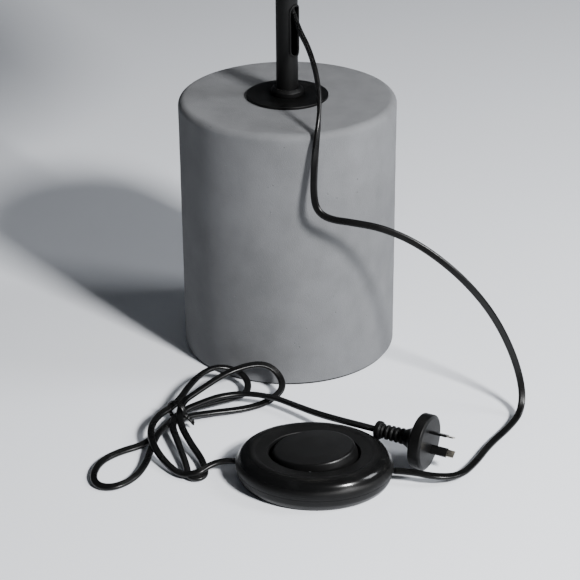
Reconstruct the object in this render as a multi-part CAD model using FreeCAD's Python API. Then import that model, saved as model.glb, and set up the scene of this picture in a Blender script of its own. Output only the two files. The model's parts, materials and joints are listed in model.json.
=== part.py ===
# Table lamp with a cast concrete base, a steel pole, a drum shade and a foot switch on its flex.
# Millimetres, +Z up. The origin is on the base's axis, on the surface that the lamp stands on.
# -Y is the front. The flex leaves the pole at the front right and goes to the foot switch,
# and a second flex goes from the switch, through a tied hank, to the plug.
import FreeCAD, Part
import math
import os

V = FreeCAD.Vector
UP = V(0, 0, 1)
ACROSS = V(0, 1, 0)
os.makedirs("parts", exist_ok=True)

# ---------------------------------------------------------------- driving dimensions
# Concrete base
BASE_D = 160.0
BASE_TOP = 197.0            # height of the concrete's top face above the floor
BASE_EDGE_R = 6.7           # rounded top edge
BASE_FOOT_R = 1.0           # small break at the bottom edge
PAD_T = 1.2                 # foam pad under the concrete
PAD_INSET = 1.5
RECESS_D = 46.0             # pocket under the base for the washer and nut
RECESS_DEPTH = 22.0
ROD_HOLE_D = 12.0

# Tie rod: hollow M10 x 1 thread
ROD_D = 10.0
ROD_BORE = 6.0
ROD_FREE = 6.0              # rod that stands out under the nut
WASHER_D = 40.0
WASHER_T = 2.5
NUT_AF = 17.0
NUT_T = 6.0
FIT = 0.02                  # radial clearance of a sliding fit
THREAD_FIT = 0.05           # radial clearance that stands for a thread

# Flange, collar and pole
FLANGE_D = 60.0
FLANGE_T = 2.0
COLLAR_D = 24.0
COLLAR_H = 5.5
COLLAR_CHAMFER = 2.2
POLE_D = 16.0
POLE_WALL = 1.2
POLE_TOP = 380.0
INSERT_L = 18.0             # threaded inserts at the pole's two ends

# Flex outlet: an oblong bezel in a slot of the pole
OUTLET_HEADING = -40.0      # degrees from +X, towards the front
OUTLET_Z = 248.0            # middle of the slot
BEZEL_W = 10.8
BEZEL_H = 39.0
BEZEL_PROUD = 1.0
BEZEL_RIM = 1.0             # rim that overlaps the pole around the slot
BEZEL_WALL = 0.7            # tongue that lines the slot

# Flex: flat twin cord, and the round section of the same area that stands for it
FLEX_W = 5.1
FLEX_T = 3.2
FLEX_AREA = FLEX_T * (FLEX_W - FLEX_T) + math.pi * FLEX_T ** 2 / 4
FLEX_D = round(2 * math.sqrt(FLEX_AREA / math.pi), 1)
GRIP_L = 12.0               # cord grip inside the pole
GRIP_Z = 281.0
CORE_D = 2.0                # one insulated core

# Lampholder (E27)
NIPPLE_D = 10.0
NIPPLE_BORE = 6.0
LOCKNUT_AF = 14.0
LOCKNUT_T = 3.5
CAP_FOOT_D = 20.0
HOLDER_D = 38.0
CAP_H = 24.0
HOLDER_WALL = 2.0
HOLDER_H = 40.0
SHOULDER_D = 47.0           # flange that the shade's spider rests on
SHOULDER_T = 2.0
SHOULDER_UP = 8.0           # above the foot of the holder's body
THREAD_D = 40.0
RING_D = 56.0
RING_H = 7.0
RING_GRIPS = 24
CARRIER_T = 8.0             # contact block in the holder
CORE_X = 9.0                # terminals of the holder, off the axis

# Bulb (A60, E27)
BULB_D = 60.0
BULB_CAP_D = 26.0
BULB_CAP_L = 22.0
BULB_LIFT = 2.0             # gap over the contact block
BULB_BODY_D = 46.0
BULB_BODY_L = 26.0
GLASS_T = 1.0

# Shade
SHADE_D_LOW = 320.0
SHADE_D_TOP = 280.0
SHADE_H = 200.0
SHADE_T = 1.0
SHADE_DROP = 22.0           # spider hub above the shade's lower edge
WIRE_D = 3.5
ARM_D = 3.0
HUB_D = 62.0
HUB_T = 1.6
HUB_HOLE = 41.0
ARMS = 3

# Foot switch, in its own frame: X along the flex, Z up from the floor
SWITCH_AT = (16.3, -208.0)
SWITCH_TURN = -7.5
SWITCH_A = 53.5             # half length
SWITCH_B = 45.0             # half width
FOOT_T = 1.0
SPLIT_Z = 9.0               # joint between the base tray and the housing
BULGE_Z = 12.4
CREST_Z = 21.2              # top of the rim
DISH_Z = 20.6               # edge of the well
SWITCH_WALL = 2.2
SWITCH_FLOOR = 2.0
WELL_A = 30.4
WELL_B = 25.4
WELL_GAP = 0.7              # rocker to well, each side
WELL_WALL = 1.6
WELL_FOOT_Z = 13.0
ENTRY_Z = 9.0               # height of the flex entries

# Rocker
ROCKER_TILT = 6.0           # half of the travel, degrees
PIVOT_Z = 18.0
ROCKER_TOP = 23.8
ROCKER_FOOT = 14.5
ROCKER_WALL = 1.8
STUB_D = 3.0
RUN = 0.05                  # radial running clearance of a pin

# Contact bridge
BRIDGE_TILT = 8.0
BRIDGE_PIN_Z = 6.2
BRIDGE_PIN_D = 2.0
BRIDGE_L = 22.0
BRIDGE_W = 6.0
BRIDGE_T = 1.0
KNUCKLE_D = 4.0
BRIDGE_STEP = 1.5           # strip above the pin's centre
PLUNGER_D = 4.0
SPRING_H = 4.6
SPRING_WIRE = 0.5
SPRING_TURNS = 4
SPRING_STEPS = 8            # straight runs in one turn of the spring
ROCKER_EDGE_R = 2.0
TERMINAL_X = 22.0
TERMINAL_TOP = 8.6
TERMINAL_D = 7.0
TAP_D = 2.5
LINK_X = 14.0
LINK_Y = 14.0
CLAMP_X = 42.0
CLAMP_Y = 6.0
CLAMP_SCREW_D = 2.5
LEAD_X = 36.0
POST_D = 7.0
TRAY_BOSS_Z = 6.0
SCREW_PLACES = [(34.0, 24.0), (34.0, -24.0), (-34.0, 24.0), (-34.0, -24.0)]
SCREW_D = 2.9
HEAD_D = 5.6
HEAD_T = 2.0
SCREW_TOP = 15.0
AIR = 0.4                   # gap between pieces of different bodies

# Plug: the disc stands on its rim, the axis is level
PLUG_AT = (94.9, -197.0)    # middle of the pin face
PLUG_TURN = -28.0
PLUG_D = 38.8
PLUG_T = 9.5
PLUG_EDGE_R = 1.5
FLARE_L = 9.0
FLARE_D = 26.0
NECK_D = 10.5
NECK_L = 17.0
BOOT_D = 13.0
BOOT_L = 5.0
RIBS = 3
RIB_T = 2.4
PIN_L = 17.0
PIN_W = 6.3
PIN_T = 1.6
PIN_SPREAD = 13.7
PIN_LEAN = 30.0
PIN_ROLL = 94.0
SLEEVE_L = 12.0
SLEEVE_T = 0.6
PIN_OFFSET = (1.0, 1.5)
PIN_ROOT = 7.5              # pin inside the plug's body
PLUG_LIFT = 0.1             # clearance to the floor

# Hank of spare flex: a waist in a tie, and a lobe of loose loops on each side of it
TIE_AT = (-80.0, -132.5)
TIE_HEADING = 50.0
TIE_W = 3.0
TIE_T = 1.2
WAIST_W = 14.0
WAIST_H = 12.0
WAIST_L = 10.0              # half length of the waist
WAIST_Z = 8.2
LOBE_LIFT = 0.3
LOBE_T = 8.0
LEFT_LOBE = [
    (-75.0, -137.0, 2), (-66.0, -164.0, 20), (-56.0, -198.0, 8), (-58.0, -214.0, 6), (-73.0, -216.0, 6),
    (-90.0, -196.0, 4), (-97.0, -205.0, 3), (-112.0, -228.0, 9), (-134.0, -227.0, 9), (-139.0, -204.0, 12),
    (-126.0, -180.0, 12), (-102.0, -164.0, 6), (-101.0, -148.0, 8), (-88.0, -130.0, 4)]
RIGHT_LOBE = [
    (-76.0, -139.0, 2), (-54.0, -131.5, 10), (-20.0, -119.5, 10), (-2.0, -100.0, 8), (-5.5, -82.5, 6),
    (-30.0, -77.0, 12), (-52.0, -68.0, 8), (-64.0, -78.0, 8), (-85.0, -124.0, 4)]
RIGHT_HEADING = 26.0
RIGHT_LEAN = 16.0

# Points of the two free flexes, chosen by hand
FLEX_EXIT = (5.1, -5.9, 260.0)
FLEX_EXIT_WAY = (0.30, -0.62, -0.72)
FLEX_OUT_RUN = 12.0
FLEX_KNEE_RUN = 8.0
FLEX_HANGING = [
    (15.4, -29.0, 243.0), (20.4, -48.0, 231.5), (22.4, -66.0, 219.5), (21.6, -80.0, 208.0),
    (19.6, -87.5, 195.0), (18.2, -92.5, 178.0), (17.6, -97.0, 161.0), (19.6, -100.0, 149.5),
    (28.0, -103.0, 144.0), (45.0, -106.0, 142.6), (66.0, -108.5, 139.2), (91.0, -111.0, 127.8),
    (119.0, -113.0, 105.5), (142.0, -114.5, 78.0), (158.0, -115.5, 47.0), (166.5, -119.0, 19.0),
    (165.0, -129.0, 4.6), (155.5, -146.0, 2.5), (138.0, -171.0, 2.3), (126.5, -195.0, 2.9),
    (114.0, -215.5, 4.8), (97.0, -220.5, 7.4)]
FLEX_TO_HANK = [(-56.0, -204.4, 7.2), (-62.5, -210.5, 5.4)]
FLEX_OFF_HANK = [(-12.0, -111.0, 9.0), (3.0, -123.5, 8.2), (17.0, -137.0, 9.6), (31.0, -152.0, 13.2)]
SWITCH_LEAD = 12.0          # straight flex outside each entry of the switch
PLUG_LEAD = 13.0            # straight flex behind the plug

# ---------------------------------------------------------------- worked-out sizes
POLE_FOOT = BASE_TOP + FLANGE_T
POLE_BORE = POLE_D - 2 * POLE_WALL
RECESS_TOP = PAD_T + RECESS_DEPTH
CAP_Z = POLE_TOP + LOCKNUT_T
BODY_Z = CAP_Z + CAP_H
SHOULDER_Z = BODY_Z + SHOULDER_UP
HUB_Z = SHOULDER_Z + SHOULDER_T + AIR
HOLDER_TOP = BODY_Z + HOLDER_H
CARRIER_Z = BODY_Z + 3.0
BULB_Z = CARRIER_Z + CARRIER_T + BULB_LIFT
SHADE_LOW = HUB_Z - SHADE_DROP
SHADE_TOP = SHADE_LOW + SHADE_H
PLUG_Z = PLUG_D / 2 + PLUG_LIFT
PLUG_TAIL = -(PLUG_T + FLARE_L + NECK_L + BOOT_L)
FLEX_TOP = BODY_Z - 8.0
ENTRY_X = SWITCH_A + 0.6    # where the free flex meets the switch, outside the wall


# ---------------------------------------------------------------- helpers
def save(name, *pieces):
    """Write one node, which may hold several separate solids."""
    solids = [s for p in pieces for s in p.Solids]
    shape = solids[0] if len(solids) == 1 else Part.makeCompound(solids)
    bad = [s for s in solids if not s.isValid() or s.Volume <= 0]
    print(f"{name:22s} solids {len(solids):2d}  volume {shape.Volume:12.1f}" + ("  BAD" if bad else ""))
    shape.exportStep(f"parts/{name}.step")


def rod(diameter, low, high, at=(0, 0)):
    return Part.makeCylinder(diameter / 2, high - low, V(at[0], at[1], low), UP)


def pipe(outer, inner, low, high, at=(0, 0)):
    return rod(outer, low, high, at).cut(rod(inner, low - 1, high + 1, at))


def turned(profile):
    """Solid of revolution about Z of a closed outline of (radius, height) points."""
    points = [V(r, 0, z) for r, z in profile]
    wire = Part.makePolygon(points + points[:1])
    return Part.Face(wire).revolve(V(), UP, 360)


def hexagon(across_flats, low, high, bore):
    radius = across_flats / math.sqrt(3)
    corners = [V(radius * math.cos(math.radians(60 * i)), radius * math.sin(math.radians(60 * i)), low)
               for i in range(6)]
    body = Part.Face(Part.makePolygon(corners + corners[:1])).extrude(V(0, 0, high - low))
    return body.cut(rod(bore, low - 1, high + 1))


def moved(shape, x=0.0, y=0.0, z=0.0, turn=0.0):
    """A copy that is first turned about Z and then shifted."""
    copy = shape.copy()
    copy.rotate(V(), UP, turn)
    copy.translate(V(x, y, z))
    return copy


def tilted(shape, height, angle):
    """A copy that is turned about the Y line at that height."""
    copy = shape.copy()
    copy.rotate(V(0, 0, height), ACROSS, angle)
    return copy


def oblong(width, height, near, far):
    """Bar with a stadium section, from x = near to x = far, standing on end about z = 0."""
    flat = Part.makeBox(far - near, width, height - width, V(near, -width / 2, -(height - width) / 2))
    ends = [Part.makeCylinder(width / 2, far - near, V(near, 0, s * (height - width) / 2), V(1, 0, 0))
            for s in (-1, 1)]
    return flat.fuse(ends).removeSplitter()


def oval(half_x, half_y, low, high):
    """Upright elliptic cylinder."""
    big, small = max(half_x, half_y), min(half_x, half_y)
    edge = Part.Ellipse(V(0, 0, low), big, small).toShape()
    if half_y > half_x:
        edge.rotate(V(0, 0, low), UP, 90)
    return Part.Face(Part.Wire([edge])).extrude(V(0, 0, high - low))


def squeezed(shape, ratio):
    """The shape with its Y sizes multiplied by the ratio."""
    matrix = FreeCAD.Matrix()
    matrix.scale(V(1, ratio, 1))
    return shape.transformGeometry(matrix)


def rounded_profile(points):
    """Closed wire in the XZ plane whose corners are rounded: (x, z, radius)."""
    count = len(points)
    edges, joints = [], []
    for i, (x, z, r) in enumerate(points):
        here = V(x, 0, z)
        before = V(points[i - 1][0], 0, points[i - 1][1])
        after = V(points[(i + 1) % count][0], 0, points[(i + 1) % count][1])
        if r == 0:
            joints.append((here, here, here))
            continue
        a, b = (before - here).normalize(), (after - here).normalize()
        half = a.getAngle(b) / 2
        reach = r / math.tan(half)
        middle = here + (a + b).normalize() * (r / math.sin(half) - r)
        joints.append((here + a * reach, middle, here + b * reach))
    for i, (start, middle, end) in enumerate(joints):
        if (end - start).Length > 1e-6:
            edges.append(Part.Arc(start, middle, end).toShape())
        following = joints[(i + 1) % count][0]
        if (following - end).Length > 1e-6:
            edges.append(Part.LineSegment(end, following).toShape())
    return Part.Wire(edges)


def revolved(points):
    return Part.Face(rounded_profile(points)).revolve(V(), UP, 360)


def flex_path(points, label):
    """Straight runs joined by tangent arcs, each arc as large as its two runs allow."""
    spots = [V(*p) for p in points]
    edges, radii, last = [], [], spots[0]
    for before, here, after in zip(spots, spots[1:], spots[2:]):
        a, b = (before - here), (after - here)
        short = min(a.Length, b.Length)
        a.normalize()
        b.normalize()
        turn = math.pi - a.getAngle(b)
        radius = 0.45 * short / math.tan(turn / 2)
        reach = 0.45 * short
        middle = here + (a + b).normalize() * (radius / math.cos(turn / 2) - radius)
        edges.append(Part.LineSegment(last, here + a * reach).toShape())
        edges.append(Part.Arc(here + a * reach, middle, here + b * reach).toShape())
        last = here + b * reach
        radii.append(round(radius, 1))
    edges.append(Part.LineSegment(last, spots[-1]).toShape())
    wire = Part.Wire(edges)
    print(f"{label}: length {wire.Length:.1f} mm, arc radii {radii}")
    return wire


def flex_tube(points, label, diameter=None):
    width = FLEX_D if diameter is None else diameter
    wire = flex_path(points, label)
    start = V(*points[0])
    section = Part.Wire([Part.Circle(start, V(*points[1]) - start, width / 2).toShape()])
    tube = wire.makePipeShell([section], True, True)
    expected = math.pi * width ** 2 / 4 * wire.Length
    print(f"    tube volume / (section x length) = {tube.Volume / expected:.4f}")
    return Part.Solid(tube) if tube.ShapeType != "Solid" else tube


def on_switch(shape):
    return moved(shape, SWITCH_AT[0], SWITCH_AT[1], 0.0, SWITCH_TURN)


def on_plug(shape):
    return moved(shape, PLUG_AT[0], PLUG_AT[1], PLUG_Z, PLUG_TURN)


def outlet(shape):
    return moved(shape, 0, 0, OUTLET_Z, OUTLET_HEADING)


# ---------------------------------------------------------------- base
def make_base():
    radius = BASE_D / 2
    concrete = revolved([(0, PAD_T, 0), (radius, PAD_T, BASE_FOOT_R), (radius, BASE_TOP, BASE_EDGE_R),
                         (0, BASE_TOP, 0)])
    concrete = concrete.cut([rod(ROD_HOLE_D, 0, BASE_TOP + 1), rod(RECESS_D, 0, RECESS_TOP)])
    save("concrete_base", concrete)
    pad = rod(BASE_D - 2 * PAD_INSET, 0, PAD_T)
    save("base_pad", pad)
    save("base_flange", pipe(FLANGE_D, ROD_D + 2 * THREAD_FIT, BASE_TOP, POLE_FOOT))
    inner, outer = POLE_D / 2 + FIT, COLLAR_D / 2
    save("pole_collar", turned([(inner, POLE_FOOT), (outer, POLE_FOOT),
                                (outer, POLE_FOOT + COLLAR_H - COLLAR_CHAMFER),
                                (outer - COLLAR_CHAMFER, POLE_FOOT + COLLAR_H),
                                (inner, POLE_FOOT + COLLAR_H)]))
    washer_z = RECESS_TOP - WASHER_T
    nut_z = washer_z - NUT_T
    bore = ROD_D + 2 * THREAD_FIT
    save("base_washer", pipe(WASHER_D, bore, washer_z, RECESS_TOP))
    save("base_nut", hexagon(NUT_AF, nut_z, washer_z, bore))
    save("tie_rod", pipe(ROD_D, ROD_BORE, nut_z - ROD_FREE, POLE_FOOT + INSERT_L - 2.0))


# ---------------------------------------------------------------- pole
def make_pole():
    slot_w, slot_h = BEZEL_W - 2 * BEZEL_RIM, BEZEL_H - 2 * BEZEL_RIM
    slot = outlet(oblong(slot_w, slot_h, 0, POLE_D))
    pole = pipe(POLE_D, POLE_BORE, POLE_FOOT, POLE_TOP).cut(slot)
    save("pole", pole)

    outer = POLE_D + 2 * BEZEL_PROUD
    half = BEZEL_H / 2 + 1
    rim = pipe(outer, POLE_D + 2 * FIT, -half, half).common(oblong(BEZEL_W, BEZEL_H, 0, POLE_D))
    tongue = pipe(outer - BEZEL_PROUD, POLE_BORE, -half, half)
    tongue = tongue.common(oblong(slot_w - 2 * FIT, slot_h - 2 * FIT, 0, POLE_D))
    open_w = slot_w - 2 * FIT - 2 * BEZEL_WALL
    open_h = slot_h - 2 * FIT - 2 * BEZEL_WALL
    bezel = rim.fuse(tongue).cut(oblong(open_w, open_h, 0, POLE_D)).removeSplitter()
    save("outlet_bezel", outlet(bezel))

    insert_d = POLE_BORE - 2 * FIT
    bore = ROD_D + 2 * THREAD_FIT
    save("pole_insert_low", pipe(insert_d, bore, POLE_FOOT, POLE_FOOT + INSERT_L))
    save("pole_insert_top", pipe(insert_d, bore, POLE_TOP - INSERT_L, POLE_TOP))
    save("cord_grip", pipe(insert_d, FLEX_D, GRIP_Z, GRIP_Z + GRIP_L))


# ---------------------------------------------------------------- flex
def switch_point(x, y, z):
    turn = math.radians(SWITCH_TURN)
    return (SWITCH_AT[0] + x * math.cos(turn) - y * math.sin(turn),
            SWITCH_AT[1] + x * math.sin(turn) + y * math.cos(turn), z)


def plug_point(x):
    turn = math.radians(PLUG_TURN)
    return PLUG_AT[0] + x * math.cos(turn), PLUG_AT[1] + x * math.sin(turn), PLUG_Z


def make_flexes():
    way = V(*FLEX_EXIT_WAY).normalize()
    start = V(*FLEX_EXIT)
    knee = tuple(start - way * FLEX_KNEE_RUN)
    inner = [FLEX_EXIT, knee, (0, 0, GRIP_Z - 6.0), (0, 0, FLEX_TOP)]
    save("inner_flex", flex_tube(inner, "inner flex"))
    hanging = [FLEX_EXIT, tuple(start + way * FLEX_OUT_RUN)] + FLEX_HANGING
    hanging += [switch_point(x, 0, ENTRY_Z) for x in (ENTRY_X + SWITCH_LEAD, ENTRY_X)]
    save("flex_to_switch", flex_tube(hanging, "flex to switch"))
    to_hank = [switch_point(x, 0, ENTRY_Z) for x in (-ENTRY_X, -ENTRY_X - SWITCH_LEAD * 0.7)]
    save("flex_to_hank", flex_tube(to_hank + FLEX_TO_HANK, "flex to hank"))
    to_plug = FLEX_OFF_HANK + [plug_point(PLUG_TAIL - PLUG_LEAD), plug_point(PLUG_TAIL)]
    save("flex_to_plug", flex_tube(to_plug, "flex to plug"))


# ---------------------------------------------------------------- lampholder
def make_holder():
    bore = NIPPLE_D + 2 * THREAD_FIT
    save("pole_nipple", pipe(NIPPLE_D, NIPPLE_BORE, POLE_TOP - INSERT_L + 4, CAP_Z + HOLDER_WALL + 6))
    save("pole_locknut", hexagon(LOCKNUT_AF, POLE_TOP, CAP_Z, bore))
    inside = CAP_Z + HOLDER_WALL
    save("cap_nut", hexagon(LOCKNUT_AF, inside, inside + LOCKNUT_T, bore))
    outer, hole = HOLDER_D / 2, bore / 2
    inner = outer - HOLDER_WALL
    foot = CAP_FOOT_D / 2
    save("holder_cap", revolved([(hole, CAP_Z, 0), (foot, CAP_Z, 1), (outer, CAP_Z + 10, 6),
                                 (outer, BODY_Z, 0), (inner, BODY_Z, 0), (inner, CAP_Z + 11, 5),
                                 (foot - 1, inside, 0), (hole, inside, 0)]))
    shell = BULB_CAP_D / 2 + 1.6
    thread, shoulder = THREAD_D / 2, SHOULDER_D / 2
    carrier_top = CARRIER_Z + CARRIER_T
    save("holder_body", turned([(inner, BODY_Z), (outer, BODY_Z), (outer, SHOULDER_Z),
                                (shoulder, SHOULDER_Z), (shoulder, SHOULDER_Z + SHOULDER_T),
                                (thread, SHOULDER_Z + SHOULDER_T), (thread, HOLDER_TOP - 8),
                                (outer - 0.5, HOLDER_TOP), (shell, HOLDER_TOP), (shell, carrier_top + 2),
                                (inner, carrier_top + 1), (inner, BODY_Z)]))
    carrier = rod(2 * inner - 2 * THREAD_FIT, CARRIER_Z, carrier_top)
    carrier = carrier.cut([rod(2.5, CARRIER_Z - 1, carrier_top - 2, (s * CORE_X, 0)) for s in (-1, 1)])
    save("contact_carrier", carrier)
    save("screw_shell", pipe(2 * shell - 2 * THREAD_FIT, BULB_CAP_D + 1.4, carrier_top, HOLDER_TOP - 7))
    leaf = Part.makeBox(14, 5, 0.6, V(-7, -2.5, carrier_top))
    bump = rod(4.0, carrier_top, BULB_Z - AIR)
    save("centre_contact", leaf.fuse(bump).removeSplitter())
    screws = [rod(2.5, CARRIER_Z, carrier_top - 2, (s * CORE_X, 0)).fuse(
              rod(5.0, CARRIER_Z - 1.8, CARRIER_Z, (s * CORE_X, 0))) for s in (-1, 1)]
    save("holder_screws", *screws)
    low, high = FLEX_TOP, CARRIER_Z - 1.8
    wires = [[(s * CORE_D / 2, 0, low), (s * (CORE_D / 2 + 0.6), 0, low + 5),
              (s * (CORE_X - 1.2), 0, high - 6), (s * CORE_X, 0, high)] for s in (-1, 1)]
    save("holder_wires", *[flex_tube(w, "holder wire", CORE_D) for w in wires])


def make_bulb():
    cap, body = BULB_CAP_D / 2, BULB_BODY_D / 2
    cap_low = BULB_Z + 2.0
    cap_top = cap_low + BULB_CAP_L
    globe = BULB_D / 2
    seat = cap_top + BULB_BODY_L + 10.0
    middle = seat + math.sqrt(globe ** 2 - body ** 2)
    save("bulb_tip", turned([(0, BULB_Z), (4.5, BULB_Z), (5.5, cap_low), (0, cap_low)]))
    save("bulb_cap", revolved([(0, cap_low, 0), (cap - 3, cap_low, 1), (cap, cap_low + 4, 2),
                               (cap, cap_top, 0), (0, cap_top, 0)]))
    save("bulb_body", revolved([(0, cap_top, 0), (cap + 0.6, cap_top, 1), (cap + 3.0, cap_top + 8, 12),
                                (body, seat - 5, 14), (body, seat, 0), (0, seat, 0)]))
    save("bulb_board", rod(2 * body - 6, seat, seat + 1.6))
    outside = Part.makeSphere(globe, V(0, 0, middle))
    inside = Part.makeSphere(globe - GLASS_T, V(0, 0, middle))
    below = rod(BULB_D + 10, seat - BULB_D, seat)
    save("bulb_globe", outside.cut(inside).cut(below))


# ---------------------------------------------------------------- shade
def wire_ring(radius, height):
    return Part.makeTorus(radius, WIRE_D / 2, V(0, 0, height), UP)


def make_shade():
    low, top = SHADE_D_LOW / 2, SHADE_D_TOP / 2
    save("shade_cover", turned([(low - SHADE_T, SHADE_LOW), (low, SHADE_LOW), (top, SHADE_TOP),
                                (top - SHADE_T, SHADE_TOP)]))
    lean = (low - top) / SHADE_H
    inset = SHADE_T + WIRE_D / 2 * math.hypot(1, lean) + THREAD_FIT
    low_z, top_z = SHADE_LOW + WIRE_D / 2, SHADE_TOP - WIRE_D / 2
    save("shade_top_ring", wire_ring(top + lean * WIRE_D / 2 - inset, top_z))
    low_r = low - lean * WIRE_D / 2 - inset
    spider = wire_ring(low_r, low_z)
    hub = pipe(HUB_D, HUB_HOLE, HUB_Z, HUB_Z + HUB_T)
    root = V(HUB_D / 2 - 1.5, 0, HUB_Z + HUB_T / 2)
    tip = V(low_r, 0, low_z)
    arm = Part.makeCylinder(ARM_D / 2, (tip - root).Length, root, tip - root)
    arms = [moved(arm, turn=90 + 360 * i / ARMS) for i in range(ARMS)]
    save("shade_spider", hub.fuse(arms + [spider]))
    ring_z = HUB_Z + HUB_T + AIR
    ring = pipe(RING_D, THREAD_D + 2 * RUN, ring_z, ring_z + RING_H)
    grips = [rod(2.4, ring_z - 1, ring_z + RING_H + 1,
                 (RING_D / 2 * math.cos(2 * math.pi * i / RING_GRIPS),
                  RING_D / 2 * math.sin(2 * math.pi * i / RING_GRIPS))) for i in range(RING_GRIPS)]
    save("shade_clamp_ring", ring.cut(grips))


# ---------------------------------------------------------------- foot switch
def pair(shape):
    """The shape and its copy turned by 180 degrees about Z."""
    return [shape, moved(shape, turn=180)]


def make_switch_shells():
    ratio = SWITCH_B / SWITCH_A
    a, wall = SWITCH_A, SWITCH_WALL
    under_dish = DISH_Z - SWITCH_WALL
    outer = revolved([(0, SPLIT_Z, 0), (a - 0.2, SPLIT_Z, 0), (a, BULGE_Z, 6), (a - 4.9, CREST_Z - 2.4, 9),
                      (a - 13, CREST_Z + 0.2, 8), (0, DISH_Z - 0.8, 0)])
    hollow = revolved([(0, SPLIT_Z - 1, 0), (a - wall - 0.2, SPLIT_Z - 1, 0), (a - wall, BULGE_Z - 0.6, 5),
                       (a - wall - 4.2, CREST_Z - 4.4, 7), (a - wall - 12, CREST_Z - wall + 0.2, 6),
                       (0, DISH_Z - 0.8 - wall, 0)])
    shell = squeezed(outer, ratio).cut(squeezed(hollow, ratio))
    collar = oval(WELL_A + WELL_WALL, WELL_B + WELL_WALL, WELL_FOOT_Z, under_dish + 1)
    posts = [rod(POST_D, TRAY_BOSS_Z, under_dish + 0.6, (x, y)) for x, y in SCREW_PLACES]
    shell = shell.fuse([collar] + posts).cut(oval(WELL_A, WELL_B, WELL_FOOT_Z - 1, CREST_Z + 5))
    entry = Part.makeCylinder(FLEX_D / 2 + RUN, 2 * a + 20, V(-a - 10, 0, ENTRY_Z), V(1, 0, 0))
    across_well = WELL_B + WELL_WALL
    stubs = Part.makeCylinder(STUB_D / 2, 2 * across_well, V(0, -across_well, PIVOT_Z), ACROSS)
    bores = [rod(SCREW_D, TRAY_BOSS_Z - 1, SCREW_TOP, (x, y)) for x, y in SCREW_PLACES]
    shell = shell.cut([entry, stubs] + bores)
    save("switch_housing", on_switch(shell))

    under = FOOT_T
    floor_z = under + SWITCH_FLOOR
    tray = revolved([(0, under, 0), (a - 3, under, 1.5), (a - 1.2, under + 3.6, 4), (a - 0.2, SPLIT_Z, 0),
                     (0, SPLIT_Z, 0)])
    room = revolved([(0, floor_z, 0), (a - wall - 3, floor_z, 1), (a - wall - 1.2, floor_z + 2.6, 3),
                     (a - wall - 0.2, SPLIT_Z + 1, 0), (0, SPLIT_Z + 1, 0)])
    tray = squeezed(tray, ratio).cut(squeezed(room, ratio))
    bosses = [rod(POST_D + 2, under, TRAY_BOSS_Z, (x, y)) for x, y in SCREW_PLACES]
    saddle_top = ENTRY_Z - FLEX_D / 2
    saddles = pair(Part.makeBox(6, 5, saddle_top - floor_z + 0.5, V(CLAMP_X - 3, -2.5, floor_z - 0.5)))
    pillars = [rod(4.6, floor_z - 0.5, ENTRY_Z + FLEX_D / 2, (sx * CLAMP_X, sy * CLAMP_Y))
               for sx in (-1, 1) for sy in (-1, 1)]
    tray = tray.fuse(bosses + saddles + pillars)
    heads = [rod(HEAD_D + 2 * THREAD_FIT, under - 1, under + HEAD_T + 0.8, (x, y)) for x, y in SCREW_PLACES]
    holes = [rod(SCREW_D, under, TRAY_BOSS_Z + 1, (x, y)) for x, y in SCREW_PLACES]
    clamp_holes = [rod(CLAMP_SCREW_D, floor_z + 1, ENTRY_Z + FLEX_D, (sx * CLAMP_X, sy * CLAMP_Y))
                   for sx in (-1, 1) for sy in (-1, 1)]
    tray = tray.cut(heads + holes + clamp_holes + [entry])
    save("switch_base", on_switch(tray))
    feet = [rod(9.0, 0, FOOT_T, (sx * 30, sy * 22)) for sx in (-1, 1) for sy in (-1, 1)]
    save("switch_feet", *[on_switch(f) for f in feet])
    screws = [rod(SCREW_D, under + 0.8, SCREW_TOP - 0.5, (x, y)).fuse(
              rod(HEAD_D, under + 0.8, under + 0.8 + HEAD_T, (x, y))) for x, y in SCREW_PLACES]
    save("housing_screws", *[on_switch(s) for s in screws])


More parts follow.
